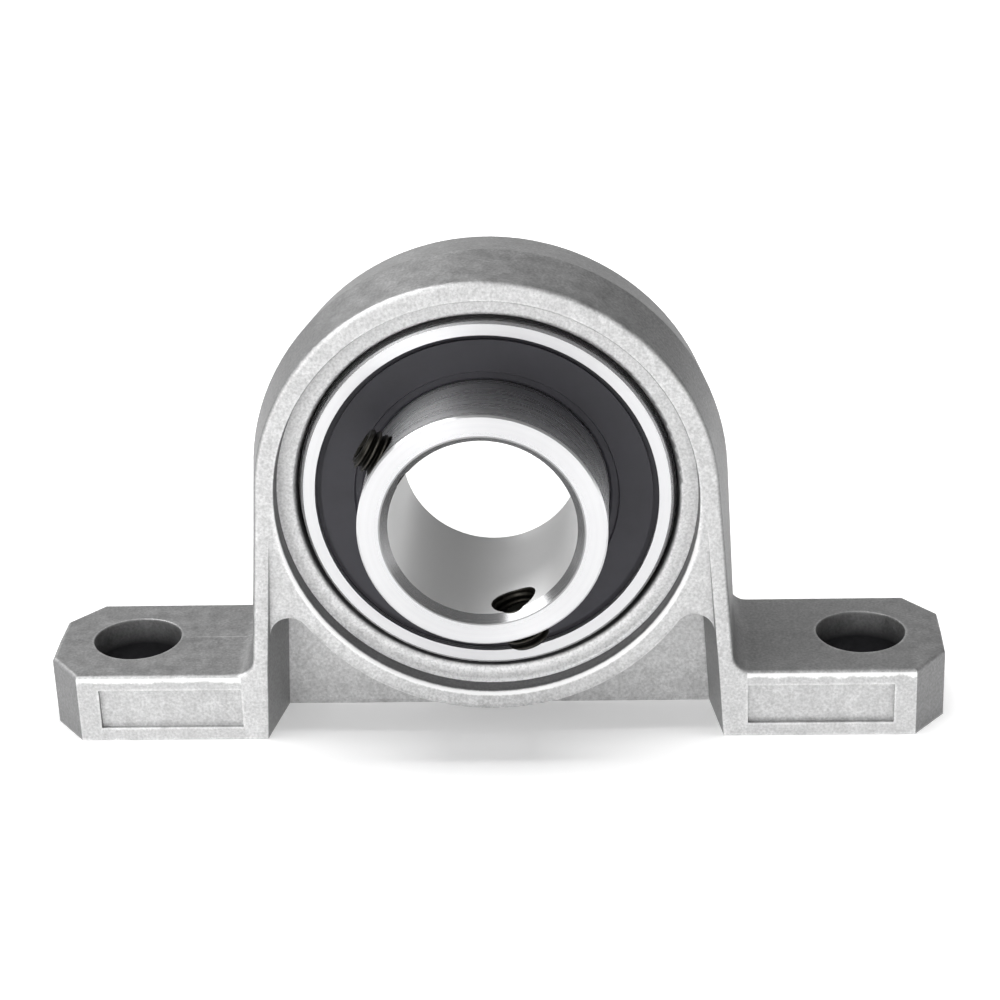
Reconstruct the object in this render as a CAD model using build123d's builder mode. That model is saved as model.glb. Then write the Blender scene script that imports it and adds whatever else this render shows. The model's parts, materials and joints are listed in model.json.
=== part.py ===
from build123d import *
import os
from math import acos, atan2, cos, hypot, radians, sin, sqrt, tan

os.makedirs("parts", exist_ok=True)

# Pillow block bearing with a die-cast housing, in millimetres.
# The base plane is z = 0, the shaft axis runs along Y, and the front with the set screws is -Y.
# The origin is midway between the two bolt holes.

# Rings and balls of the insert; the ring's sphere comes to 42 across and its width to 12
bore_diameter = 20.0
ball_diameter = 6.35
ball_count = 9
race_wall = 2.295            # steel between a race and the bore, and between a race and the sphere
race_conformity = 0.52       # race radius as a share of the ball diameter
race_clearance = 0.03
race_shoulder = 1.305        # outer ring's land above the deepest line of its race
collar_wall = 3.25
collar_length = 9.0          # the inner ring stands out this far at the front
bore_chamfer = 0.8           # radial
bore_chamfer_length = 1.0    # axial
ring_edge_chamfer = 0.2

# Ball cage, pressed from sheet
cage_sheet = 0.6
cage_width = 2.3             # radial width of the ribbon
pocket_clearance = 0.07
rivet_diameter = 0.9
rivet_head_diameter = 1.6
rivet_head_height = 0.45
rivet_clearance = 0.02

# Seals, rubber moulded on a steel core
cage_room = 1.005            # between cage and core
core_sheet = 0.35
core_flange = 0.45           # height of the turned edge behind the sheet
core_from_collar = 1.3       # inner edge of the core
core_from_land = 0.35        # outer edge of the core
seal_skin = 0.35             # rubber in front of the core
seal_set_back = 0.45         # rubber face behind the ring's face
seal_step = 1.25             # counterbore in the ring's face, beyond the land
seal_rim_gap = 0.65          # between the rubber face and the counterbore
seal_groove = 0.35           # groove beyond the counterbore
seal_groove_depth = 0.9      # from the face to the groove
seal_groove_width = 0.9
bead_clearance = 0.1
lip_clearance = 0.05         # seal lip to the collar
lip_width = 1.15             # stepped edge of the rubber face above the collar
lip_step = 0.3               # the lip lies this much behind the rubber face
lip_edge = 0.3               # slope at the tip of the lip

# Set screws
set_screw_diameter = 5.0
set_screw_length = 4.0
set_screw_lift = 1.2         # point of the screw above the bore
set_screw_land = 0.7         # collar in front of the screw's hole
set_screw_angles = (17.0, -125.0)   # degrees from straight down, positive towards +X
screw_clearance = 0.04
hex_across_flats = 2.5
hex_depth = 1.8
point_diameter = 2.5         # cup point
point_depth = 0.6

# Seat of the insert in the housing, from the sphere outwards
seat_clearance = 0.04
seat_relief = 1.15           # length of the flare between seat and lip
lip_flare = 0.1              # the lip's bore beyond the edge of the seat
lip_radius = 0.5             # rounded lip inside the recess
recess_ledge = 1.6           # floor of the recess around the lip
recess_slope = 0.1           # the recess widens this much to its mouth
recess_depth = 1.95          # its floor lies a little behind the ring's face
mouth_round = 0.15           # edge of the recess in the ring's face
ring_rim = 2.144             # face of the ring around the recess
crest_rise = 1.05            # the arch stands this much above the ring's face, at the parting line
leg_flare = 0.75             # the legs spread this much beyond the crest on their way down

# Housing
shaft_height = 28.0          # shaft axis above the base
bolt_spacing = 82.0
bolt_hole_diameter = 10.0
foot_end = 9.0               # from a bolt hole's axis to the end of the foot
foot_depth = 18.0            # front to back
foot_height = 8.3            # at the parting line in mid-depth
foot_draft = 2.0             # degrees, the foot's top falls away from the parting line
end_width = 9.0              # flat left between the corner chamfers at each end
corner_run = 3.5             # length of a corner chamfer along the foot
ring_set_back = 1.4          # the ring's face lies this much behind the foot's front
leg_wall = 1.48              # at the base
leg_spread = 0.2             # the legs are this much narrower per side at the foot's faces
leg_inner_slope = 3.3        # degrees, the opening between the legs narrows upwards
slope_drop = 3.2             # below the shaft axis the legs start to slope forward to the foot
pocket_draft = 9.6           # degrees
pocket_corner_radius = 2.2
web_thickness = 1.5
foot_root_radius = 2.0       # fillet between leg and foot
rim_radius = 0.5             # outer edges of the front and back, and the foot's top edges
plate_sill = 1.55            # bare recessed plate on each foot's front: face left below it
plate_header = 1.75          # above it
plate_root = 1.2             # from the leg's outside to the plate
plate_end = 2.4              # from the plate to the foot's corner
plate_depth = 0.5

cut_margin = 1.0             # cutters reach this far past the solid
slack = 0.01                 # for choosing edges by their place

# Sizes that follow, from the shaft outwards
bore_radius = bore_diameter / 2
collar_radius = bore_radius + collar_wall
ball_radius = ball_diameter / 2
pitch_radius = bore_radius + race_wall + race_clearance + ball_radius
sphere_radius = pitch_radius + ball_radius + race_clearance + race_wall
land_radius = sphere_radius - race_wall - race_shoulder
pocket_radius = ball_radius + pocket_clearance
shell_radius = pocket_radius + cage_sheet
core_back = shell_radius + cage_room
core_front = core_back + core_sheet
seal_face = core_front + seal_skin
ring_half_width = seal_face + seal_set_back
inner_ring_front = ring_half_width + collar_length
ball_step = 360 / ball_count

foot_face = foot_depth / 2
ring_face = foot_face - ring_set_back
seat_half_width = ring_face - recess_depth - lip_radius - seat_relief
seat_radius = sphere_radius + seat_clearance
seat_edge = sqrt(seat_radius**2 - seat_half_width**2)
lip_bore_radius = seat_edge + lip_flare
recess_floor_radius = lip_bore_radius + lip_radius + recess_ledge
recess_radius = recess_floor_radius + recess_slope
ring_radius = recess_radius + ring_rim
crest_radius = ring_radius + crest_rise
leg_base = crest_radius + leg_flare
leg_inner_base = leg_base - leg_wall
foot_half_length = bolt_spacing / 2 + foot_end
face_height = foot_height - foot_face * tan(radians(foot_draft))
cutter_top = shaft_height + crest_radius + cut_margin

shaft_axis = Axis((0, 0, shaft_height), (0, 1, 0))


def at_shaft(*points, side=1):
    # (y, radius) pairs as sketch points on the plane Plane.YZ above the shaft axis
    return [(side * y, shaft_height + radius) for y, radius in points]


def on_pitch(turn):
    # point on the pitch circle, in degrees from its top
    return (pitch_radius * sin(radians(turn)), 0, shaft_height + pitch_radius * cos(radians(turn)))


def arch_outline(radius, half_width, foot_top):
    # arch about the shaft axis, with legs that leave it on a tangent, on a stub of the foot
    drop = shaft_height - foot_top
    start = acos(radius / hypot(half_width, drop)) - atan2(drop, half_width)
    x, z = radius * cos(start), shaft_height + radius * sin(start)
    stub = half_width + 2 * foot_root_radius
    ThreePointArc((x, z), (0, shaft_height + radius), (-x, z))
    Polyline((-x, z), (-half_width, foot_top), (-stub, foot_top), (-stub, 0), (stub, 0),
             (stub, foot_top), (half_width, foot_top), (x, z))


def leg_opening(depth, top):
    # corners of the opening between the legs, at a depth behind the foot's front face
    draft = depth * tan(radians(pocket_draft))
    slope = tan(radians(leg_inner_slope))
    low = -foot_height
    low_x, top_x = (leg_inner_base - slope * z - draft for z in (low, top))
    return [(-low_x, low), (low_x, low), (top_x, top), (-top_x, top)]


# Housing: the front half first, mirrored at the parting plane
with BuildPart() as housing:
    # feet, with a drafted top
    with BuildSketch(Plane.YZ):
        Polygon((0, 0), (0, foot_height), (-foot_face, face_height), (-foot_face, 0), align=None)
    extrude(amount=foot_half_length, both=True)
    with BuildSketch():
        end, inner = foot_half_length, foot_half_length - corner_run
        half = end_width / 2
        Polygon((end, half), (end, -half), (inner, -foot_face), (-inner, -foot_face),
                (-end, -half), (-end, half), align=None)
    extrude(amount=foot_height, mode=Mode.INTERSECT)

    # arch and legs, drafted from the parting plane to the foot's front plane
    front_radius = crest_radius - crest_rise * foot_face / ring_face
    for plane, radius, leg, foot_top in (
            (Plane.XZ, crest_radius, leg_base, foot_height),
            (Plane.XZ.offset(foot_face), front_radius, leg_base - leg_spread, face_height)):
        with BuildSketch(plane) as section:
            with BuildLine():
                arch_outline(radius, leg, foot_top)
            make_face()
            roots = section.vertices().filter_by(
                lambda v: abs(v.Y - foot_top) < slack and abs(v.X) < leg + slack)
            fillet(roots, foot_root_radius)
    loft(ruled=True)

    # front of the legs slopes back from the foot to the ring's face
    with BuildSketch(Plane.YZ):
        Polygon((-foot_face, foot_height), (-ring_face, shaft_height - slope_drop),
                (-ring_face, cutter_top), (-foot_face - cut_margin, cutter_top),
                (-foot_face - cut_margin, foot_height), align=None)
    extrude(amount=leg_base + cut_margin, both=True, mode=Mode.SUBTRACT)

    # rounded outline of the front, carried on round the foot's top
    top_edges = housing.edges().filter_by(lambda e: e.center().Z > face_height - rim_radius)
    corners = top_edges.filter_by(
        lambda e: abs(e.center().X) > foot_half_length - corner_run and e.center().Y < 0)
    outline = top_edges.filter_by(
        lambda e: max((e @ 0).Y, (e @ 1).Y) < -ring_face + slack
        and (abs(e.center().X) > leg_wall or e.center().Z > shaft_height))
    fillet(outline + corners, rim_radius)

    # between the legs the front is cut back to the ring's face
    with BuildSketch(Plane.XZ.offset(foot_face)):
        Polygon(*leg_opening(0, shaft_height + crest_radius), align=None)
    extrude(amount=-ring_set_back, taper=pocket_draft, mode=Mode.SUBTRACT)

    # pocket between legs and ring boss, down to the web
    with BuildSketch(Plane.XZ.offset(ring_face)) as pocket:
        Polygon(*leg_opening(ring_set_back, shaft_height), align=None)
        with Locations((0, shaft_height)):
            Circle(ring_radius, mode=Mode.SUBTRACT)
        tips = pocket.vertices().filter_by(lambda v: v.Y > foot_height)
        fillet(tips, pocket_corner_radius)
    extrude(amount=web_thickness / 2 - ring_face, taper=pocket_draft, mode=Mode.SUBTRACT)

    # stepped mouth, rounded lip and spherical seat
    with BuildSketch(Plane.YZ):
        floor = -ring_face + recess_depth
        mouth_radius = recess_radius + mouth_round
        with BuildLine():
            Polyline(*at_shaft((0, 0), (-ring_face - cut_margin, 0),
                               (-ring_face - cut_margin, mouth_radius), (-ring_face, mouth_radius)))
            TangentArc(*at_shaft((-ring_face, mouth_radius), (-ring_face + mouth_round, recess_radius)),
                       tangent=(0, -1))
            Polyline(*at_shaft((-ring_face + mouth_round, recess_radius), (floor, recess_floor_radius),
                               (floor, lip_bore_radius + lip_radius)))
            TangentArc(*at_shaft((floor, lip_bore_radius + lip_radius),
                                 (floor + lip_radius, lip_bore_radius)), tangent=(0, -1))
            Line(*at_shaft((floor + lip_radius, lip_bore_radius), (-seat_half_width, seat_edge)))
            TangentArc(*at_shaft((0, seat_radius), (-seat_half_width, seat_edge)), tangent=(-1, 0))
            Line(*at_shaft((0, seat_radius), (0, 0)))
        make_face()
    revolve(axis=shaft_axis, mode=Mode.SUBTRACT)
    mirror(about=Plane.XZ)

    # bolt holes and bare plates
    with GridLocations(bolt_spacing, 0, 2, 1):
        Hole(bolt_hole_diameter / 2)
    with BuildSketch(Plane.XZ.offset(foot_face)):
        plate_from = leg_base + plate_root
        plate_to = foot_half_length - corner_run - plate_end
        with Locations((0, (plate_sill + face_height - plate_header) / 2)):
            with GridLocations(plate_from + plate_to, 0, 2, 1):
                Rectangle(plate_to - plate_from, face_height - plate_header - plate_sill)
    extrude(amount=-plate_depth, mode=Mode.SUBTRACT)

housing.part.label = "housing"
export_step(housing.part, "parts/housing.step")

# Outer ring: spherical outside, ball race and a seal groove on each side
face_radius = sqrt(sphere_radius**2 - ring_half_width**2)
race_radius = ball_diameter * race_conformity
outer_race_centre = pitch_radius + ball_radius + race_clearance - race_radius
inner_race_centre = pitch_radius - ball_radius - race_clearance + race_radius
seal_mouth_radius = land_radius + seal_step
seal_groove_radius = seal_mouth_radius + seal_groove
groove_front = ring_half_width - seal_groove_depth
groove_back = groove_front - seal_groove_width

with BuildPart() as outer_ring:
    with BuildSketch(Plane.YZ):
        with BuildLine():
            ThreePointArc(*at_shaft((-ring_half_width, face_radius), (0, sphere_radius),
                                    (ring_half_width, face_radius)))
            Polyline(*at_shaft((ring_half_width, face_radius), (ring_half_width, 0),
                               (-ring_half_width, 0), (-ring_half_width, face_radius)))
        make_face()
        seal_steps = [(ring_half_width, seal_mouth_radius), (groove_front, seal_mouth_radius),
                      (groove_front, seal_groove_radius), (groove_back, seal_groove_radius),
                      (groove_back, land_radius)]
        Polygon(*at_shaft((ring_half_width, 0), *seal_steps), *reversed(at_shaft(*seal_steps, side=-1)),
                *at_shaft((-ring_half_width, 0)), align=None, mode=Mode.SUBTRACT)
        with Locations((0, shaft_height + outer_race_centre)):
            Circle(race_radius, mode=Mode.SUBTRACT)
    revolve(axis=shaft_axis)
    rims = outer_ring.edges().filter_by(GeomType.CIRCLE).filter_by(
        lambda e: abs(e.radius - face_radius) < slack)
    chamfer(rims, ring_edge_chamfer)
outer_ring.part.label = "outer_ring"
export_step(outer_ring.part, "parts/outer_ring.step")

# Inner ring: long collar at the front, drilled for the set screws
screw_y = set_screw_diameter / 2 + set_screw_land - inner_ring_front


def screw_plane(angle, radius):
    # plane across a set screw's axis, facing away from the shaft
    turn = radians(angle)
    outward = Vector(sin(turn), 0, -cos(turn))
    return Plane(origin=Vector(0, screw_y, shaft_height) + outward * radius,
                 x_dir=(0, 1, 0), z_dir=outward)


with BuildPart() as inner_ring:
    with BuildSketch(Plane.YZ):
        front, back = -inner_ring_front, ring_half_width
        Polygon(*at_shaft((front, bore_radius + bore_chamfer),
                          (front, collar_radius - ring_edge_chamfer),
                          (front + ring_edge_chamfer, collar_radius),
                          (back - ring_edge_chamfer, collar_radius),
                          (back, collar_radius - ring_edge_chamfer),
                          (back, bore_radius + bore_chamfer),
                          (back - bore_chamfer_length, bore_radius),
                          (front + bore_chamfer_length, bore_radius)), align=None)
        with Locations((0, shaft_height + inner_race_centre)):
            Circle(race_radius, mode=Mode.SUBTRACT)
    revolve(axis=shaft_axis)
    for angle in set_screw_angles:
        with BuildSketch(screw_plane(angle, collar_radius + cut_margin)):
            Circle(set_screw_diameter / 2)
        extrude(amount=-collar_radius, mode=Mode.SUBTRACT)
inner_ring.part.label = "inner_ring"
export_step(inner_ring.part, "parts/inner_ring.step")

# Balls, the first straight above the shaft
for number in range(ball_count):
    with BuildPart() as ball:
        with Locations(on_pitch(number * ball_step)):
            Sphere(ball_radius)
    ball.part.label = f"ball_{number + 1}"
    export_step(ball.part, f"parts/ball_{number + 1}.step")

# Cage: two pressed ribbon halves, spherical over each ball, flat where they are riveted
cage_plane = Plane((0, 0, shaft_height), x_dir=(0, 0, 1), z_dir=(0, -1, 0))


def ribbon():
    # flat ring sketched about the pitch circle
    Circle(pitch_radius + cage_width / 2)
    Circle(pitch_radius - cage_width / 2, mode=Mode.SUBTRACT)


with BuildPart() as cage_front:
    with BuildSketch(cage_plane):
        ribbon()
    extrude(amount=cage_sheet)
    with Locations(cage_plane):
        with PolarLocations(pitch_radius, ball_count):
            Sphere(shell_radius)
    with BuildSketch(cage_plane):
        ribbon()
    extrude(amount=shell_radius, mode=Mode.INTERSECT)
    with Locations(cage_plane):
        with PolarLocations(pitch_radius, ball_count):
            Sphere(pocket_radius, mode=Mode.SUBTRACT)
    with BuildSketch(cage_plane):
        with PolarLocations(pitch_radius, ball_count, start_angle=ball_step / 2):
            Circle(rivet_diameter / 2 + rivet_clearance)
    extrude(amount=cage_sheet, mode=Mode.SUBTRACT)
cage_front.part.label = "cage_front_half"
export_step(cage_front.part, "parts/cage_front_half.step")

with BuildPart() as cage_rear:
    mirror(cage_front.part, about=Plane.XZ)
cage_rear.part.label = "cage_rear_half"
export_step(cage_rear.part, "parts/cage_rear_half.step")

# Rivets with a low round head at each end
with BuildPart() as rivet:
    with BuildSketch(Plane.YZ):
        head_top, head_radius = cage_sheet + rivet_head_height, rivet_head_diameter / 2
        with BuildLine():
            TangentArc((head_top, 0), (cage_sheet, head_radius), tangent=(0, 1))
            Polyline((cage_sheet, head_radius), (cage_sheet, rivet_diameter / 2),
                     (-cage_sheet, rivet_diameter / 2), (-cage_sheet, head_radius))
            TangentArc((-head_top, 0), (-cage_sheet, head_radius), tangent=(0, 1))
            Line((-head_top, 0), (head_top, 0))
        make_face()
    revolve(axis=Axis.Y)

with BuildPart() as rivets:
    for number in range(ball_count):
        with Locations(on_pitch((number + 0.5) * ball_step)):
            add(rivet.part)
rivets.part.label = "cage_rivets"
export_step(rivets.part, "parts/cage_rivets.step")

# Seals: a stamped core with a turned edge, and rubber with a bead and a lip
core_inner_radius = collar_radius + core_from_collar
core_outer_radius = land_radius + core_from_land
flange_back = core_back - core_flange
face_outer_radius = seal_mouth_radius - seal_rim_gap
face_inner_radius = collar_radius + lip_width
bead_front = groove_front - bead_clearance
bead_back = groove_back + bead_clearance
bead_radius = seal_groove_radius - bead_clearance
lip_tip_radius = collar_radius + lip_clearance
lip_front = seal_face - lip_step
lip_back = core_back - lip_step

for name, side in (("front", -1), ("rear", 1)):
    with BuildPart() as core:
        with BuildSketch(Plane.YZ):
            Polygon(*at_shaft((core_front, core_inner_radius), (core_front, core_outer_radius),
                              (flange_back, core_outer_radius),
                              (flange_back, core_outer_radius - core_sheet),
                              (core_back, core_outer_radius - core_sheet),
                              (core_back, core_inner_radius), side=side), align=None)
        revolve(axis=shaft_axis)
    core.part.label = f"{name}_seal_core"
    export_step(core.part, f"parts/{name}_seal_core.step")

    with BuildPart() as rubber:
        with BuildSketch(Plane.YZ):
            Polygon(*at_shaft((seal_face, face_inner_radius), (seal_face, face_outer_radius),
                              (bead_front, face_outer_radius), (bead_front, bead_radius),
                              (bead_back, bead_radius), (bead_back, core_outer_radius),
                              (core_front, core_outer_radius), (core_front, core_inner_radius),
                              (lip_back, core_inner_radius), (lip_back, lip_tip_radius + lip_edge),
                              (lip_back + lip_edge / 2, lip_tip_radius),
                              (lip_front - lip_edge, lip_tip_radius),
                              (lip_front, lip_tip_radius + lip_edge),
                              (lip_front, face_inner_radius - lip_edge / 2), side=side), align=None)
        revolve(axis=shaft_axis)
    rubber.part.label = f"{name}_seal_rubber"
    export_step(rubber.part, f"parts/{name}_seal_rubber.step")

# Set screws with a hexagon socket and a cup point
point_radius = bore_radius + set_screw_lift
for number, angle in enumerate(set_screw_angles, 1):
    top = point_radius + set_screw_length
    with BuildPart() as screw:
        with BuildSketch(screw_plane(angle, top)):
            Circle(set_screw_diameter / 2 - screw_clearance)
        extrude(amount=-set_screw_length)
        with BuildSketch(screw_plane(angle, top)):
            RegularPolygon(hex_across_flats / 2, 6, major_radius=False)
        extrude(amount=-hex_depth, mode=Mode.SUBTRACT)
        with BuildSketch(screw_plane(angle, point_radius)):
            Circle(point_diameter / 2)
        extrude(amount=point_depth, taper=45, mode=Mode.SUBTRACT)
    screw.part.label = f"set_screw_{number}"
    export_step(screw.part, f"parts/set_screw_{number}.step")
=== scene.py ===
# Looks of the pillow block bearing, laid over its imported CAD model.
# Blender's lengths are metres; names that end in Mm are millimetres.
import json
import math

import bmesh
import bpy
from mathutils import Matrix, Vector


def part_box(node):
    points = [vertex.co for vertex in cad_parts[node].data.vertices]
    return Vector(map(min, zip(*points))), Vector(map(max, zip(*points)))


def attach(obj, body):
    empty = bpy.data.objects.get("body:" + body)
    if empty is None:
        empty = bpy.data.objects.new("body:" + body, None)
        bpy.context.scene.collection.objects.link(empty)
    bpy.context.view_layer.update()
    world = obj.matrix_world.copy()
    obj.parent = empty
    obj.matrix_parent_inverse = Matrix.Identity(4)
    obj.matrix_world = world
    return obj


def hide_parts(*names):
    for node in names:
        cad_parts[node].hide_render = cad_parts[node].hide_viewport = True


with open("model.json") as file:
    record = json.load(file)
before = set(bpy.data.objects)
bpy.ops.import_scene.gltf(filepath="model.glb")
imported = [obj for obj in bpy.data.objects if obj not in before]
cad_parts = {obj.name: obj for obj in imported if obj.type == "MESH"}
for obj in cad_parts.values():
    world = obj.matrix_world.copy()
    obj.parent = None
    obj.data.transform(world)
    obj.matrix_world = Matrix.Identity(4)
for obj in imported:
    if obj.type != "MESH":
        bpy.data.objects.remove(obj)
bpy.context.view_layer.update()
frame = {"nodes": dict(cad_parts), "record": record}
scene = bpy.context.scene
scene.view_settings.view_transform = "Standard"
mm = 0.001
mounts = {mount["name"]: mount for mount in frame["record"]["mounts"]}
shaftHeight = mounts["shaft_bore"]["pos_m"][2]
boreMm = mounts["shaft_bore"]["dims"]["r_mm"]  # its radius
boltHoles = mounts["base_bolts"]["dims"]
print("frame loaded:", len(frame["nodes"]), "CAD nodes")

# The camera stands where the photograph was taken from
camera = {
    "placeMm": (18.142, -258.255, 141.528),
    "turn": 3.788,      # degrees to the left of straight ahead
    "tilt": -24.251,    # degrees above level
    "roll": -2.320,
    "focalPx": 2565.43,
    "imagePx": 1000,
    "sensorMm": 36,
    "nearestMm": 10,
}
turn, tilt, roll = (math.radians(camera[key]) for key in ("turn", "tilt", "roll"))
forward = Vector((-math.sin(turn) * math.cos(tilt), math.cos(turn) * math.cos(tilt), math.sin(tilt)))
level = Vector((math.cos(turn), math.sin(turn), 0))
upright = level.cross(forward)
right = level * math.cos(roll) + upright * math.sin(roll)
up = upright * math.cos(roll) - level * math.sin(roll)
lens = bpy.data.cameras.new("productCamera")
lens.sensor_width = camera["sensorMm"]
lens.lens = camera["focalPx"] / camera["imagePx"] * camera["sensorMm"]
lens.clip_start = camera["nearestMm"] * mm
viewer = bpy.data.objects.new("productCamera", lens)
viewer.matrix_world = Matrix((right, up, -forward)).transposed().to_4x4()
viewer.location = Vector(camera["placeMm"]) * mm
scene.collection.objects.link(viewer)
scene.camera = viewer
print("camera placed")


def linear(hexColour):
    channels = [int(hexColour[k:k + 2], 16) / 255 for k in (1, 3, 5)]
    return [c / 12.92 if c <= 0.04045 else ((c + 0.055) / 1.055) ** 2.4 for c in channels] + [1.0]


# An input takes a value, the socket that feeds it, or a node, whose first output then feeds it
def addNode(tree, kind, inputs=None, **settings):
    node = tree.nodes.new(kind)
    for name, value in settings.items():
        setattr(node, name, value)
    for socket, value in (inputs or {}).items():
        if isinstance(value, bpy.types.Node):
            value = value.outputs[0]
        if isinstance(value, bpy.types.NodeSocket):
            tree.links.new(value, node.inputs[socket])
        else:
            node.inputs[socket].default_value = value
    return node


def startMaterial(name, **constants):  # a Principled surface whose even values sit on its own sockets
    material = bpy.data.materials.new(name)
    material.use_nodes = True
    tree = material.node_tree
    surface = tree.nodes["Principled BSDF"]
    for socket, value in constants.items():
        surface.inputs[socket.replace("_", " ")].default_value = value
    return material, tree, surface


def perMetre(grainMm):  # a noise texture's scale for grains of this size
    return 1 / (grainMm * mm)


# Zinc die casting, bead-blasted: a light satin grey with a fine sparkle. Its tone holds painted light and
# shade by the way a face points: the front and back faces, which the die's two halves formed, are lightest,
# tops a little darker, and the walls that face along the foot darker still. The walls of recess and pockets
# and the insides of the drilled bolt holes are painted dark as shade. Convex edges are painted bright, partly
# edge wear and partly a painted highlight, and the feet's upper front edges and the recess's lower lip carry
# painted highlights as bands. The blast's dimples are about a tenth of a millimetre wide, drawn coarser here
# to show. Tones run from 0, dark, to 1, light.
castZinc = {
    "dark": "#2e2e30", "light": "#f8f8f8", "roughness": (0.48, 0.62),
    # the tones by the way a face points are painted light and shade
    "faceLitTone": 0.67, "topShadedTone": 0.51, "faceTurn": (0.45, 0.9),     # a turn is 1 square on, 0 edge on
    "sideShadedTone": 0.28, "sideTurn": (0.3, 0.8),
    # painted shade darkens the feet and the web a little, and painted light brightens the recess floor
    "footFromMm": 28, "footShadeShare": 0.93,                            # out from the middle
    "recessMm": 23.0, "recessEdgeMm": (22.9, 23.05),                # radii
    "recessFloorLightShare": (1.42, 1.03),                                    # at its bottom, and at shaft height
    # the walls of recess and pockets take painted shade
    "recessWallMm": 23.02, "recessWallShadeTone": 0.14,
    "webMm": (0.8, 2.3), "webShadeShare": 0.97,                          # out from mid-depth
    "pocketHalfMm": 25.5, "pocketTopMm": (23, 27), "pocketShadeTone": 0.34, "shadedWallTurn": (0.25, 0.6),
    # the bolt holes are painted dark inside, as painted shade
    "holeSlackMm": 0.02, "holeMm": (5, 8.2), "holeShadeTone": 0.0, "holeMouthShadeTone": 0.36,
    "grainMm": 0.3, "grainRoughness": 0.6, "grainContrast": 0.2,
    "cloudMm": 1.6, "cloudContrast": 0.1, "pitMm": 0.45, "reliefMm": 0.02,
    "noiseSpan": (0.3, 0.7),                                        # holds nearly all of a noise's values
    # the convex edges are painted bright, partly edge wear and partly a painted highlight
    "edgeWearAndHighlightMm": 0.35, "edgeWearAndHighlightOpen": (0.55, 0.98), "edgeWearAndHighlightLift": 0.45,
    # the bands along the feet's upper edges and the recess's lip are painted highlights
    "headerMm": (7.6, 7.9), "headerWaveMm": 1, "headerHighlightLift": 0.45,  # heights
    "lipMm": (23.2, 23.6), "lipFadeMm": 12, "lipHighlightLift": 0.8,         # radii, and how far below the shaft
    "bandsFromMm": 7, "bandsTurn": 0.9,                             # out from mid-depth
    "seamMm": (-35.5, -27.5), "seamHalfMm": 0.11, "seamLift": 0.14,
    "edgeMm": 0.2, "pocketEdgeMm": 0.9,
}
zincCasting, tree, surface = startMaterial("blastedZincCasting", Metallic=1.0)

# Where a point lies: aside and inward from the middle planes, above the shaft axis, and out from it
place = addNode(tree, "ShaderNodeTexCoord")
normal = addNode(tree, "ShaderNodeSeparateXYZ", {"Vector": place.outputs["Normal"]})
facing = addNode(tree, "ShaderNodeMath", {0: normal.outputs["Y"]}, operation="ABSOLUTE")
sidelong = addNode(tree, "ShaderNodeMath", {0: normal.outputs["X"]}, operation="ABSOLUTE")
spot = addNode(tree, "ShaderNodeSeparateXYZ", {"Vector": place.outputs["Object"]})
aside = addNode(tree, "ShaderNodeMath", {0: spot.outputs["X"]}, operation="ABSOLUTE")
inward = addNode(tree, "ShaderNodeMath", {0: spot.outputs["Y"]}, operation="ABSOLUTE")
rise = addNode(tree, "ShaderNodeMath", {0: spot.outputs["Z"], 1: shaftHeight}, operation="SUBTRACT")
across = addNode(tree, "ShaderNodeCombineXYZ", {"X": spot.outputs["X"], "Y": rise})
span = addNode(tree, "ShaderNodeVectorMath", {0: across}, operation="LENGTH")
reach = span.outputs["Value"]

# Painted light and shade by the way a surface faces: faces lightest, tops darker, sides darker still
faceOrTopShade = addNode(tree, "ShaderNodeMapRange", {
    "Value": facing, "From Min": castZinc["faceTurn"][0], "From Max": castZinc["faceTurn"][1],
    "To Min": castZinc["topShadedTone"], "To Max": castZinc["faceLitTone"]})
turned = addNode(tree, "ShaderNodeMapRange", {
    "Value": sidelong, "From Min": castZinc["sideTurn"][0], "From Max": castZinc["sideTurn"][1]})
shadeByFacing = addNode(tree, "ShaderNodeMix", {"Factor": turned, 2: faceOrTopShade, 3: castZinc["sideShadedTone"]})

# Painted light and shade as shares of that tone: the recess's floor lighter towards its bottom, the web and
# the feet a little darker
recessFloorLight = addNode(tree, "ShaderNodeMapRange", {
    "Value": rise, "From Min": -castZinc["recessMm"] * mm, "From Max": 0.0,
    "To Min": castZinc["recessFloorLightShare"][0], "To Max": castZinc["recessFloorLightShare"][1]})
recess = addNode(tree, "ShaderNodeMapRange", {
    "Value": reach, "To Min": recessFloorLight, "To Max": 1.0,
    "From Min": castZinc["recessEdgeMm"][0] * mm, "From Max": castZinc["recessEdgeMm"][1] * mm})
web = addNode(tree, "ShaderNodeMapRange", {
    "Value": inward, "To Min": castZinc["webShadeShare"], "To Max": 1.0,
    "From Min": castZinc["webMm"][0] * mm, "From Max": castZinc["webMm"][1] * mm})
webShadeOnFaces = addNode(tree, "ShaderNodeMix", {"Factor": facing, 2: 1.0, 3: web})
inner = addNode(tree, "ShaderNodeMath", {0: recess, 1: webShadeOnFaces}, operation="MULTIPLY")
onFoot = addNode(tree, "ShaderNodeMath", {0: aside, 1: castZinc["footFromMm"] * mm}, operation="GREATER_THAN")
share = addNode(tree, "ShaderNodeMix", {"Factor": onFoot, 2: inner, 3: castZinc["footShadeShare"]})
shadedTone = addNode(tree, "ShaderNodeMath", {0: shadeByFacing, 1: share}, operation="MULTIPLY")

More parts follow.
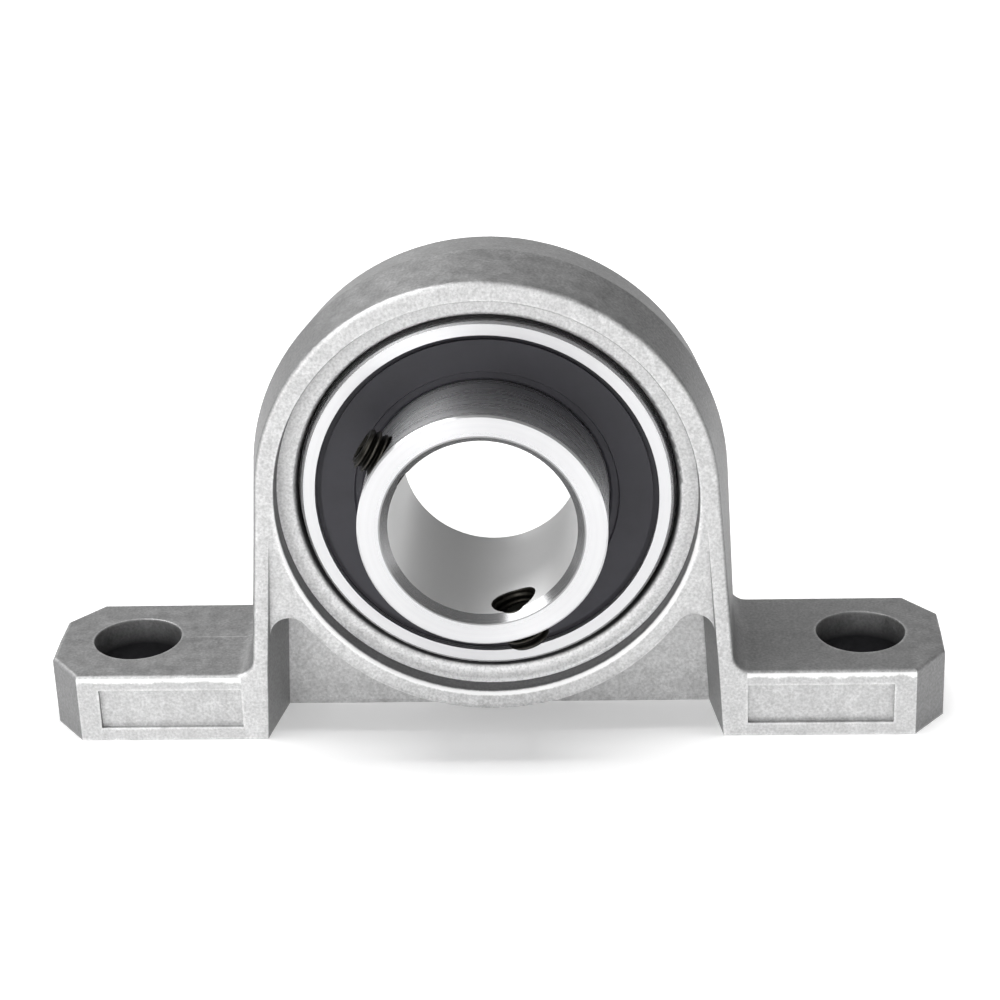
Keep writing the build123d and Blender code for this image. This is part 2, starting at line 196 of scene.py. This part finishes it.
# Painted shade on the walls of the pockets and of the recess
between = addNode(tree, "ShaderNodeMath", {0: aside, 1: castZinc["pocketHalfMm"] * mm}, operation="LESS_THAN")
low = addNode(tree, "ShaderNodeMapRange", {
    "Value": spot.outputs["Z"], "To Min": 1.0, "To Max": 0.0,
    "From Min": castZinc["pocketTopMm"][0] * mm, "From Max": castZinc["pocketTopMm"][1] * mm})
inPocket = addNode(tree, "ShaderNodeMath", {0: between, 1: low}, operation="MULTIPLY")
inRecess = addNode(tree, "ShaderNodeMath", {
    0: reach, 1: castZinc["recessWallMm"] * mm}, operation="LESS_THAN")
inShadedHollow = addNode(tree, "ShaderNodeMath", {0: inPocket, 1: inRecess}, operation="MAXIMUM")
wallOnly = addNode(tree, "ShaderNodeMapRange", {
    "Value": facing, "From Min": castZinc["shadedWallTurn"][0], "From Max": castZinc["shadedWallTurn"][1],
    "To Min": 1.0, "To Max": 0.0})
inPaintedShade = addNode(tree, "ShaderNodeMath", {0: inShadedHollow, 1: wallOnly}, operation="MULTIPLY")
hollowShadeTone = addNode(tree, "ShaderNodeMix", {
    "Factor": inRecess, 2: castZinc["pocketShadeTone"], 3: castZinc["recessWallShadeTone"]})
withHollowShade = addNode(tree, "ShaderNodeMix", {"Factor": inPaintedShade, 2: shadedTone, 3: hollowShadeTone})

# Bolt holes, painted dark as shade, darker with depth
fromHole = addNode(tree, "ShaderNodeMath", {
    0: aside, 1: boltHoles["spacing_x_mm"] / 2 * mm}, operation="SUBTRACT")
holePlace = addNode(tree, "ShaderNodeCombineXYZ", {"X": fromHole, "Y": spot.outputs["Y"]})
holeReach = addNode(tree, "ShaderNodeVectorMath", {0: holePlace}, operation="LENGTH")
inHole = addNode(tree, "ShaderNodeMath", {
    0: holeReach.outputs["Value"], 1: (boltHoles["hole_r_mm"] + castZinc["holeSlackMm"]) * mm},
    operation="LESS_THAN")
holeShadeTone = addNode(tree, "ShaderNodeMapRange", {
    "Value": spot.outputs["Z"], "To Min": castZinc["holeShadeTone"], "To Max": castZinc["holeMouthShadeTone"],
    "From Min": castZinc["holeMm"][0] * mm, "From Max": castZinc["holeMm"][1] * mm})
withHoleShade = addNode(tree, "ShaderNodeMix", {"Factor": inHole, 2: withHollowShade, 3: holeShadeTone})

# The blasted surface's mottle, in fine grain and soft clouds
lowNoise, highNoise = castZinc["noiseSpan"]
grain = addNode(tree, "ShaderNodeTexNoise", {
    "Vector": place.outputs["Object"], "Detail": 3.0, "Scale": perMetre(castZinc["grainMm"]),
    "Roughness": castZinc["grainRoughness"]})
clouds = addNode(tree, "ShaderNodeTexNoise", {
    "Vector": place.outputs["Object"], "Detail": 4.0, "Scale": perMetre(castZinc["cloudMm"])})
pits = addNode(tree, "ShaderNodeTexVoronoi", {
    "Vector": place.outputs["Object"], "Scale": perMetre(castZinc["pitMm"])}, feature="SMOOTH_F1")
grainShare = addNode(tree, "ShaderNodeMapRange", {
    "Value": grain, "From Min": lowNoise, "From Max": highNoise,
    "To Min": 1 - castZinc["grainContrast"], "To Max": 1 + castZinc["grainContrast"]})
cloudShare = addNode(tree, "ShaderNodeMapRange", {
    "Value": clouds, "From Min": lowNoise, "From Max": highNoise,
    "To Min": 1 - castZinc["cloudContrast"], "To Max": 1 + castZinc["cloudContrast"]})
mottle = addNode(tree, "ShaderNodeMath", {0: grainShare, 1: cloudShare}, operation="MULTIPLY")

# Convex edges painted bright, partly edge wear and partly a painted highlight, and the faint parting line on
# the left foot, between its hole and the leg
inside = addNode(tree, "ShaderNodeAmbientOcclusion", {"Distance": castZinc["edgeWearAndHighlightMm"] * mm},
                 samples=4, inside=True, only_local=True)
edgeWearAndHighlight = addNode(tree, "ShaderNodeMapRange", {
    "Value": inside.outputs["AO"], "To Min": castZinc["edgeWearAndHighlightLift"], "To Max": 0.0,
    "From Min": castZinc["edgeWearAndHighlightOpen"][0], "From Max": castZinc["edgeWearAndHighlightOpen"][1]})
edgeWearAndHighlightHere = addNode(tree, "ShaderNodeMath", {0: edgeWearAndHighlight, 1: clouds}, operation="MULTIPLY")
besideSeam = addNode(tree, "ShaderNodeMath", {
    0: inward, 1: castZinc["seamHalfMm"] * mm}, operation="LESS_THAN")
pastHole = addNode(tree, "ShaderNodeMath", {
    0: spot.outputs["X"], 1: castZinc["seamMm"][0] * mm}, operation="GREATER_THAN")
beforeLeg = addNode(tree, "ShaderNodeMath", {
    0: spot.outputs["X"], 1: castZinc["seamMm"][1] * mm}, operation="LESS_THAN")
seamSpan = addNode(tree, "ShaderNodeMath", {0: pastHole, 1: beforeLeg}, operation="MULTIPLY")
seam = addNode(tree, "ShaderNodeMath", {0: besideSeam, 1: seamSpan}, operation="MULTIPLY")
seamEdgeWearAndHighlight = addNode(tree, "ShaderNodeMath", {
    0: seam, 1: castZinc["seamLift"], 2: edgeWearAndHighlightHere}, operation="MULTIPLY_ADD")

# Painted highlights as bright bands on the faces: a wavy one along the feet's upper edges, and the recess's
# lip in its lower half
wavyTop = addNode(tree, "ShaderNodeMath", {
    0: clouds, 1: castZinc["headerWaveMm"] * mm, 2: spot.outputs["Z"]}, operation="MULTIPLY_ADD")
headerHighlight = addNode(tree, "ShaderNodeMapRange", {
    "Value": wavyTop, "To Max": castZinc["headerHighlightLift"],
    "From Min": castZinc["headerMm"][0] * mm, "From Max": castZinc["headerMm"][1] * mm})
headerHighlightOnFeet = addNode(tree, "ShaderNodeMath", {0: headerHighlight, 1: onFoot}, operation="MULTIPLY")
lip = addNode(tree, "ShaderNodeMapRange", {
    "Value": reach, "To Min": castZinc["lipHighlightLift"], "To Max": 0.0,
    "From Min": castZinc["lipMm"][0] * mm, "From Max": castZinc["lipMm"][1] * mm})
lowHalf = addNode(tree, "ShaderNodeMapRange", {
    "Value": rise, "From Min": -castZinc["lipFadeMm"] * mm, "From Max": 0.0, "To Min": 1.0, "To Max": 0.0})
outside = addNode(tree, "ShaderNodeMath", {0: lowHalf, 1: inRecess}, operation="SUBTRACT", use_clamp=True)
bands = addNode(tree, "ShaderNodeMath", {0: lip, 1: outside, 2: headerHighlightOnFeet}, operation="MULTIPLY_ADD")
farOut = addNode(tree, "ShaderNodeMath", {
    0: inward, 1: castZinc["bandsFromMm"] * mm}, operation="GREATER_THAN")
square = addNode(tree, "ShaderNodeMath", {0: facing, 1: castZinc["bandsTurn"]}, operation="GREATER_THAN")
onFaces = addNode(tree, "ShaderNodeMath", {0: farOut, 1: square}, operation="MULTIPLY")
highlightsWearAndSeam = addNode(tree, "ShaderNodeMath", {0: bands, 1: onFaces, 2: seamEdgeWearAndHighlight}, operation="MULTIPLY_ADD")

# Colour, roughness, and a relief of grain and pits over softly broken edges
tone = addNode(tree, "ShaderNodeMath", {0: withHoleShade, 1: mottle, 2: highlightsWearAndSeam}, operation="MULTIPLY_ADD",
               use_clamp=True)
colour = addNode(tree, "ShaderNodeMix", {
    "Factor": tone, 6: linear(castZinc["dark"]), 7: linear(castZinc["light"])}, data_type="RGBA")
tree.links.new(colour.outputs[2], surface.inputs["Base Color"])
roughness = addNode(tree, "ShaderNodeMapRange", {
    "Value": clouds, "From Min": lowNoise, "From Max": highNoise,
    "To Min": castZinc["roughness"][0], "To Max": castZinc["roughness"][1]})
tree.links.new(roughness.outputs[0], surface.inputs["Roughness"])
edgeSize = addNode(tree, "ShaderNodeMapRange", {
    "Value": inPocket, "To Min": castZinc["edgeMm"] * mm, "To Max": castZinc["pocketEdgeMm"] * mm})
edges = addNode(tree, "ShaderNodeBevel", {"Radius": edgeSize}, samples=6)
depth = addNode(tree, "ShaderNodeMath", {0: grain, 1: pits.outputs["Distance"]}, operation="ADD")
relief = addNode(tree, "ShaderNodeBump", {
    "Height": depth, "Distance": castZinc["reliefMm"] * mm, "Normal": edges})
tree.links.new(relief.outputs[0], surface.inputs["Normal"])

# Bearing steel, ground: bright, with fine lines that run round the shaft axis and spread its highlights
# across them. The real lines are a few hundredths of a millimetre apart, drawn coarser here to show.
groundSteel = {
    "light": "#e3e3e4", "dark": "#d5d5d7", "lineMm": 0.12, "streakMm": 0.7, "roughness": (0.25, 0.3),
    "spread": 0.85, "spreadTurn": 0.25,      # a quarter turn lays the highlights across the lines
    "reliefMm": 0.00003, "edgeMm": 0.06,
    "bore": "#d8d8d8", "boreSlackMm": 0.04, "boreDuller": 0.3,
    # the chamfered edge's colour is painted shade
    "chamfer": "#a2a2a3", "chamferWideMm": 0.96,
}
bearingSteel, tree, surface = startMaterial(
    "groundBearingSteel", Metallic=1.0, Anisotropic=groundSteel["spread"],
    Anisotropic_Rotation=groundSteel["spreadTurn"])
place = addNode(tree, "ShaderNodeTexCoord")
spot = addNode(tree, "ShaderNodeSeparateXYZ", {"Vector": place.outputs["Object"]})
rise = addNode(tree, "ShaderNodeMath", {0: spot.outputs["Z"], 1: shaftHeight}, operation="SUBTRACT")
across = addNode(tree, "ShaderNodeCombineXYZ", {"X": spot.outputs["X"], "Y": rise})
span = addNode(tree, "ShaderNodeVectorMath", {0: across}, operation="LENGTH")
reach = span.outputs["Value"]
alongLines = addNode(tree, "ShaderNodeCombineXYZ", {"X": reach, "Y": spot.outputs["Y"]})
lines = addNode(tree, "ShaderNodeTexNoise", {
    "Vector": alongLines, "Detail": 2.0, "Scale": perMetre(groundSteel["lineMm"])}, noise_dimensions="2D")
streaks = addNode(tree, "ShaderNodeTexNoise", {
    "Vector": alongLines, "Detail": 3.0, "Scale": perMetre(groundSteel["streakMm"])}, noise_dimensions="2D")
colour = addNode(tree, "ShaderNodeMix", {
    "Factor": streaks, 6: linear(groundSteel["dark"]), 7: linear(groundSteel["light"])}, data_type="RGBA")
inBore = addNode(tree, "ShaderNodeMath", {
    0: reach, 1: (boreMm + groundSteel["boreSlackMm"]) * mm}, operation="LESS_THAN")
# The bore's chamfered edge is painted darker than the ground faces, as painted shade
inChamfer = addNode(tree, "ShaderNodeMath", {
    0: reach, 1: (boreMm + groundSteel["chamferWideMm"]) * mm}, operation="LESS_THAN")
withChamferShade = addNode(tree, "ShaderNodeMix", {
    "Factor": inChamfer, 6: colour.outputs[2], 7: linear(groundSteel["chamfer"])}, data_type="RGBA")
withBore = addNode(tree, "ShaderNodeMix", {
    "Factor": inBore, 6: withChamferShade.outputs[2], 7: linear(groundSteel["bore"])}, data_type="RGBA")
tree.links.new(withBore.outputs[2], surface.inputs["Base Color"])
roughness = addNode(tree, "ShaderNodeMapRange", {
    "Value": streaks, "To Min": groundSteel["roughness"][0], "To Max": groundSteel["roughness"][1]})
duller = addNode(tree, "ShaderNodeMath", {
    0: inBore, 1: groundSteel["boreDuller"], 2: roughness}, operation="MULTIPLY_ADD")
tree.links.new(duller.outputs[0], surface.inputs["Roughness"])
girth = addNode(tree, "ShaderNodeTangent", direction_type="RADIAL", axis="Y")
tree.links.new(girth.outputs[0], surface.inputs["Tangent"])
edges = addNode(tree, "ShaderNodeBevel", {"Radius": groundSteel["edgeMm"] * mm}, samples=4)
relief = addNode(tree, "ShaderNodeBump", {
    "Height": lines, "Distance": groundSteel["reliefMm"] * mm, "Normal": edges})
tree.links.new(relief.outputs[0], surface.inputs["Normal"])

# Nitrile rubber, moulded onto a steel core: dull charcoal with a faint bloom
mouldedRubber = {
    "dark": "#313036", "light": "#414048", "grainMm": 0.25, "bloomMm": 4, "roughness": (0.48, 0.62),
    "reliefMm": 0.006, "ior": 1.52,
}
sealRubber, tree, surface = startMaterial("mouldedNitrileRubber", IOR=mouldedRubber["ior"])
place = addNode(tree, "ShaderNodeTexCoord")
grain = addNode(tree, "ShaderNodeTexNoise", {
    "Vector": place.outputs["Object"], "Detail": 3.0, "Scale": perMetre(mouldedRubber["grainMm"])})
bloom = addNode(tree, "ShaderNodeTexNoise", {
    "Vector": place.outputs["Object"], "Detail": 4.0, "Scale": perMetre(mouldedRubber["bloomMm"])})
colour = addNode(tree, "ShaderNodeMix", {
    "Factor": bloom, 6: linear(mouldedRubber["dark"]), 7: linear(mouldedRubber["light"])}, data_type="RGBA")
tree.links.new(colour.outputs[2], surface.inputs["Base Color"])
roughness = addNode(tree, "ShaderNodeMapRange", {
    "Value": grain, "To Min": mouldedRubber["roughness"][0], "To Max": mouldedRubber["roughness"][1]})
tree.links.new(roughness.outputs[0], surface.inputs["Roughness"])
relief = addNode(tree, "ShaderNodeBump", {"Height": grain, "Distance": mouldedRubber["reliefMm"] * mm})
tree.links.new(relief.outputs[0], surface.inputs["Normal"])

# Steel, black-oxided: near black and a little brown, thin enough to rub bright on the thread crests
blackOxide = {
    "coat": "#1f1e1b", "bare": "#5c5953", "wornMm": (2.2, 2.36), "mottleMm": 0.5, "roughness": (0.36, 0.5),
}
oxideSteel, tree, surface = startMaterial("blackOxideSteel", Metallic=1.0)
place = addNode(tree, "ShaderNodeTexCoord")
flat = addNode(tree, "ShaderNodeVectorMath", {
    0: place.outputs["Object"], 1: (1, 1, 0)}, operation="MULTIPLY")
fromAxis = addNode(tree, "ShaderNodeVectorMath", {0: flat}, operation="LENGTH")
mottle = addNode(tree, "ShaderNodeTexNoise", {
    "Vector": place.outputs["Object"], "Detail": 3.0, "Scale": perMetre(blackOxide["mottleMm"])})
worn = addNode(tree, "ShaderNodeMapRange", {
    "Value": fromAxis.outputs["Value"],
    "From Min": blackOxide["wornMm"][0] * mm, "From Max": blackOxide["wornMm"][1] * mm})
wear = addNode(tree, "ShaderNodeMath", {0: worn, 1: mottle}, operation="MULTIPLY")
colour = addNode(tree, "ShaderNodeMix", {
    "Factor": wear, 6: linear(blackOxide["coat"]), 7: linear(blackOxide["bare"])}, data_type="RGBA")
tree.links.new(colour.outputs[2], surface.inputs["Base Color"])
roughness = addNode(tree, "ShaderNodeMapRange", {
    "Value": mottle, "To Min": blackOxide["roughness"][0], "To Max": blackOxide["roughness"][1]})
tree.links.new(roughness.outputs[0], surface.inputs["Roughness"])

# Cold-rolled steel strip, pressed and tumbled, for the cage and the seal cores: a soft grey sheen
pressedStrip = {
    "light": "#c3c1bd", "dark": "#a9a7a3", "cloudMm": 1.2, "detail": 5.0, "roughness": (0.3, 0.45),
}
# Chrome steel, lapped, for the balls: a mirror with a trace of haze
lappedBalls = {
    "light": "#e2e2e3", "dark": "#d6d6d8", "cloudMm": 1.5, "detail": 3.0, "roughness": (0.05, 0.09),
}


def cloudedMetal(name, look):  # one soft noise sets both its colour and its roughness
    material, tree, surface = startMaterial(name, Metallic=1.0)
    place = addNode(tree, "ShaderNodeTexCoord")
    clouds = addNode(tree, "ShaderNodeTexNoise", {
        "Vector": place.outputs["Object"], "Detail": look["detail"], "Scale": perMetre(look["cloudMm"])})
    colour = addNode(tree, "ShaderNodeMix", {
        "Factor": clouds, 6: linear(look["dark"]), 7: linear(look["light"])}, data_type="RGBA")
    tree.links.new(colour.outputs[2], surface.inputs["Base Color"])
    roughness = addNode(tree, "ShaderNodeMapRange", {
        "Value": clouds, "To Min": look["roughness"][0], "To Max": look["roughness"][1]})
    tree.links.new(roughness.outputs[0], surface.inputs["Roughness"])
    return material


pressedSteel = cloudedMetal("pressedSteelStrip", pressedStrip)
lappedSteel = cloudedMetal("lappedChromeSteel", lappedBalls)

finishOf = {
    "zinc_casting": zincCasting, "bearing_steel": bearingSteel, "ball_steel": lappedSteel,
    "cage_steel": pressedSteel, "seal_core_steel": pressedSteel, "seal_rubber": sealRubber,
    "black_screw_steel": oxideSteel,
}
for part in frame["record"]["subparts"]:
    finished = frame["nodes"][part["node"]].data.materials
    finished.clear()
    finished.append(finishOf[part["material_slot"]])
print("materials made, for slots:", len(finishOf))


def addPiece(name, mesh, material, body, placement):
    piece = bpy.data.objects.new(name, mesh)
    mesh.materials.append(material)
    scene.collection.objects.link(piece)
    piece.matrix_world = placement
    for polygon in mesh.polygons:
        polygon.use_smooth = True
    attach(piece, body)
    return piece


def skinRings(name, rings, closed=False):  # skins rings of points in turn; the ends are fanned or joined
    shape = bmesh.new()
    loops = [[shape.verts.new(point) for point in ring] for ring in rings]
    for one, two in zip(loops, loops[1:] + (loops[:1] if closed else [])):
        for k in range(len(one)):
            after = (k + 1) % len(one)
            shape.faces.new((one[k], one[after], two[after], two[k]))
    if not closed:
        for loop in (loops[0], loops[-1]):
            middle = shape.verts.new(sum((v.co for v in loop), Vector()) / len(loop))
            for k in range(len(loop)):
                shape.faces.new((loop[k], loop[(k + 1) % len(loop)], middle))
    bmesh.ops.recalc_face_normals(shape, faces=shape.faces)
    mesh = bpy.data.meshes.new(name)
    shape.to_mesh(mesh)
    shape.free()
    return mesh


# Set screws with their threads, sockets and cup points, and the threads that they run in.
# Both are drawn with a little air between the crests, so that a screw can slide along its hole.
# The holes take the same dark material as the screws.
setScrew = {
    "lengthMm": 4, "pitchMm": 0.8, "crestMm": 2.36, "rootMm": 1.95, "crestShare": 0.14,
    "endChamferMm": 0.45, "endInsetMm": 0.05, "topInsetMm": 0.08,
    "socketAcrossMm": 2.5, "socketDeepMm": 1.8, "mouthDeepMm": 0.22, "mouthShare": 1.17,
    "drillShare": 0.94, "drillStepMm": 0.05, "drillDeepMm": 0.3, "drillTipShare": 0.02,
    "cupMm": 1.15, "cupDeepMm": 0.5, "cupTipMm": 0.02,
    "around": 96, "rows": 84,
}
tappedHole = {
    "wallMm": 2.53, "rootMm": 2.49, "crestMm": 2.39, "endMarginMm": 0.12, "runOutRows": 5,
    "around": 96, "rows": 60,
}
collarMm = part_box("inner_ring")[1].x / mm


def threadRadius(crest, root, along, angle):  # a sharp thread with narrow flat crests
    phase = (along / setScrew["pitchMm"] - angle / (2 * math.pi)) % 1
    flat = setScrew["crestShare"]
    share = min(max((abs(2 * phase - 1) - flat) / (1 - 2 * flat), 0), 1)
    return crest + (root - crest) * share


def screwRings():  # from the socket's floor over the top, down the thread and into the cup point
    around, rows = setScrew["around"], setScrew["rows"]
    angles = [2 * math.pi * k / around for k in range(around)]
    crest, root = setScrew["crestMm"], setScrew["rootMm"]
    top, bottom = setScrew["lengthMm"] / 2, -setScrew["lengthMm"] / 2
    half, sixth = setScrew["socketAcrossMm"] / 2, math.pi / 3
    hexagon = [half / math.cos((a + sixth / 2) % sixth - sixth / 2) for a in angles]
    socketFloor = top - setScrew["socketDeepMm"]
    rings = [
        ([r * setScrew["drillTipShare"] for r in hexagon], socketFloor - setScrew["drillDeepMm"]),
        ([r * setScrew["drillShare"] for r in hexagon], socketFloor),
        (hexagon, socketFloor + setScrew["drillStepMm"]),
        (hexagon, top - setScrew["mouthDeepMm"]),
        ([max(r, half * setScrew["mouthShare"]) for r in hexagon], top),
        ([root - setScrew["topInsetMm"]] * around, top),
    ]
    smallest = root - setScrew["endInsetMm"]
    for row in range(rows + 1):
        z = top + (bottom - top) * row / rows
        limit = smallest + min(top - z, z - bottom) / setScrew["endChamferMm"] * (crest - smallest)
        rings.append(([min(threadRadius(crest, root, z, a), limit) for a in angles], z))
    rings += [
        ([setScrew["cupMm"]] * around, bottom),
        ([setScrew["cupTipMm"]] * around, bottom + setScrew["cupDeepMm"]),
    ]
    return [[Vector((r * math.cos(a), r * math.sin(a), z)) * mm for r, a in zip(radii, angles)]
            for radii, z in rings]


def tappedRings(middleMm):  # heights count from the screw's middle, this far from the shaft axis
    around, rows = tappedHole["around"], tappedHole["rows"]
    angles = [2 * math.pi * k / around for k in range(around)]
    crest, root, wall = (tappedHole[key] for key in ("crestMm", "rootMm", "wallMm"))

    def heightAt(radius, angle, share):  # from the bore, 0, to the collar's outside, 1, both of them round
        side = radius * math.sin(angle)
        low = math.sqrt(boreMm ** 2 - side ** 2) + tappedHole["endMarginMm"]
        high = math.sqrt(collarMm ** 2 - side ** 2) - tappedHole["endMarginMm"]
        return low + (high - low) * share - middleMm

    rings = []
    for row in range(rows + 1):
        fade = min(1, min(row, rows - row) / tappedHole["runOutRows"])
        ring = []
        for a in angles:
            z = heightAt(root, a, row / rows)
            thread = threadRadius(crest, root, z + setScrew["pitchMm"] / 2, a)
            radius = root + (thread - root) * fade
            ring.append(Vector((radius * math.cos(a), radius * math.sin(a), z)) * mm)
        rings.append(ring)
    for share in (1, 0):
        rings.append([Vector((wall * math.cos(a), wall * math.sin(a), heightAt(wall, a, share))) * mm
                      for a in angles])
    return rings


for number in (1, 2):
    low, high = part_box(f"set_screw_{number}")
    middle = (low + high) / 2
    fromShaft = middle - Vector((0, middle.y, shaftHeight))
    outward, fore = fromShaft.normalized(), Vector((0, 1, 0))
    placement = Matrix((fore, outward.cross(fore), outward)).transposed().to_4x4()
    placement.translation = middle
    screwMesh = skinRings(f"socketSetScrew{number}", screwRings())
    screw = addPiece(f"socketSetScrew{number}", screwMesh, oxideSteel, f"set_screw_{number}",
                     placement)
    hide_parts(f"set_screw_{number}")
    threadMesh = skinRings(f"tappedThread{number}", tappedRings(fromShaft.length / mm), closed=True)
    addPiece(f"tappedThread{number}", threadMesh, oxideSteel, "inner_ring", placement)
print("set screws and tapped threads made")

# A plain white sheet under the part. Its own light only lifts it to white for the eye and for
# reflections, a little more with distance; what the lamps cast on it, shadow included, is added to that.
floor = {
    "white": "#f4f4f4", "glow": "#ffffff", "gloss": 0.1, "roughness": 0.9,
    "radiusM": 3.0, "around": 96, "belowMm": 0.02,
    "nearLift": 0.33, "farLift": 0.62, "nearM": 0.02, "farM": 0.14,
}
floorMesh = bpy.data.meshes.new("paperSheet")
disc = bmesh.new()
bmesh.ops.create_circle(disc, cap_ends=True, segments=floor["around"], radius=floor["radiusM"])
disc.to_mesh(floorMesh)
disc.free()
paper = bpy.data.objects.new("paperSheet", floorMesh)
paper.location.z = -floor["belowMm"] * mm
scene.collection.objects.link(paper)
whitePaper, tree, surface = startMaterial(
    "whitePaper", Roughness=floor["roughness"], Base_Color=linear(floor["white"]),
    Specular_IOR_Level=floor["gloss"], Emission_Color=linear(floor["glow"]))
seen = addNode(tree, "ShaderNodeLightPath")
seenOrMirrored = addNode(tree, "ShaderNodeMath", {
    0: seen.outputs["Is Camera Ray"], 1: seen.outputs["Is Glossy Ray"]}, operation="ADD")
seenAtAll = addNode(tree, "ShaderNodeMath", {
    0: seenOrMirrored, 1: seen.outputs["Is Transmission Ray"]}, operation="ADD", use_clamp=True)
place = addNode(tree, "ShaderNodeTexCoord")
away = addNode(tree, "ShaderNodeVectorMath", {0: place.outputs["Object"]}, operation="LENGTH")
brightness = addNode(tree, "ShaderNodeMapRange", {
    "Value": away.outputs["Value"], "From Min": floor["nearM"], "From Max": floor["farM"],
    "To Min": floor["nearLift"], "To Max": floor["farLift"]})
lift = addNode(tree, "ShaderNodeMath", {0: seenAtAll, 1: brightness}, operation="MULTIPLY")
tree.links.new(lift.outputs[0], surface.inputs["Emission Strength"])
floorMesh.materials.append(whitePaper)

# The metal shows a panel at the upper left and one in front. The paper and the rubber are lit from
# overhead instead, so the shadow stays below the part. Places and sizes are in metres.
lamps = {
    "key": {"place": (-0.5, -0.1, 0.62), "size": (0.5, 0.5), "watts": 4.8, "lights": "metal"},
    "front": {"place": (-0.3, -0.65, 0.3), "size": (0.4, 0.4), "watts": 1.5, "lights": "metal"},
    "overhead": {"place": (0.0, 0.0, 0.85), "size": (0.6, 0.16), "watts": 4.2, "lights": "dull"},
}
lampTarget = Vector((0, 0, 0.02))  # about the middle of the part
for name, lamp in lamps.items():
    light = bpy.data.lights.new(name, "AREA")
    light.shape = "RECTANGLE"
    light.size, light.size_y = lamp["size"]
    light.energy = lamp["watts"]
    holder = bpy.data.objects.new(name, light)
    holder.location = lamp["place"]
    holder.visible_glossy = lamp["lights"] == "metal"
    holder.visible_diffuse = lamp["lights"] == "dull"
    holder.rotation_euler = (lampTarget - holder.location).to_track_quat("-Z", "Y").to_euler()
    scene.collection.objects.link(holder)

# A grey room, lighter to the left and dimmer above, and white down where the sheet ends. Its
# directions run from -1 to 1, left to right and down to up.
room = {
    "left": "#d0d0d0", "right": "#aaaaaa", "leftToRight": (-0.45, 0.2),
    "lowStrength": 0.9, "highStrength": 0.7, "lowToHigh": (0.1, 0.8),
    "horizon": "#ffffff", "horizonTo": (0.02, 0.1),
}
world = bpy.data.worlds.new("greyRoom")
world.use_nodes = True
scene.world = world
tree = world.node_tree
gaze = addNode(tree, "ShaderNodeTexCoord")
direction = addNode(tree, "ShaderNodeSeparateXYZ", {"Vector": gaze.outputs["Generated"]})
side = addNode(tree, "ShaderNodeMapRange", {
    "Value": direction.outputs["X"], "From Min": room["leftToRight"][0], "From Max": room["leftToRight"][1]})
shade = addNode(tree, "ShaderNodeMix", {
    "Factor": side, 6: linear(room["left"]), 7: linear(room["right"])}, data_type="RGBA")
strength = addNode(tree, "ShaderNodeMapRange", {
    "Value": direction.outputs["Z"], "From Min": room["lowToHigh"][0], "From Max": room["lowToHigh"][1],
    "To Min": room["lowStrength"], "To Max": room["highStrength"]})
nearHorizon = addNode(tree, "ShaderNodeMapRange", {
    "Value": direction.outputs["Z"], "From Min": room["horizonTo"][0], "From Max": room["horizonTo"][1],
    "To Min": 1.0, "To Max": 0.0})
swept = addNode(tree, "ShaderNodeMix", {
    "Factor": nearHorizon, 6: shade.outputs[2], 7: linear(room["horizon"])}, data_type="RGBA")
tree.links.new(swept.outputs[2], tree.nodes["Background"].inputs["Color"])
tree.links.new(strength.outputs[0], tree.nodes["Background"].inputs["Strength"])
print("floor and light set")
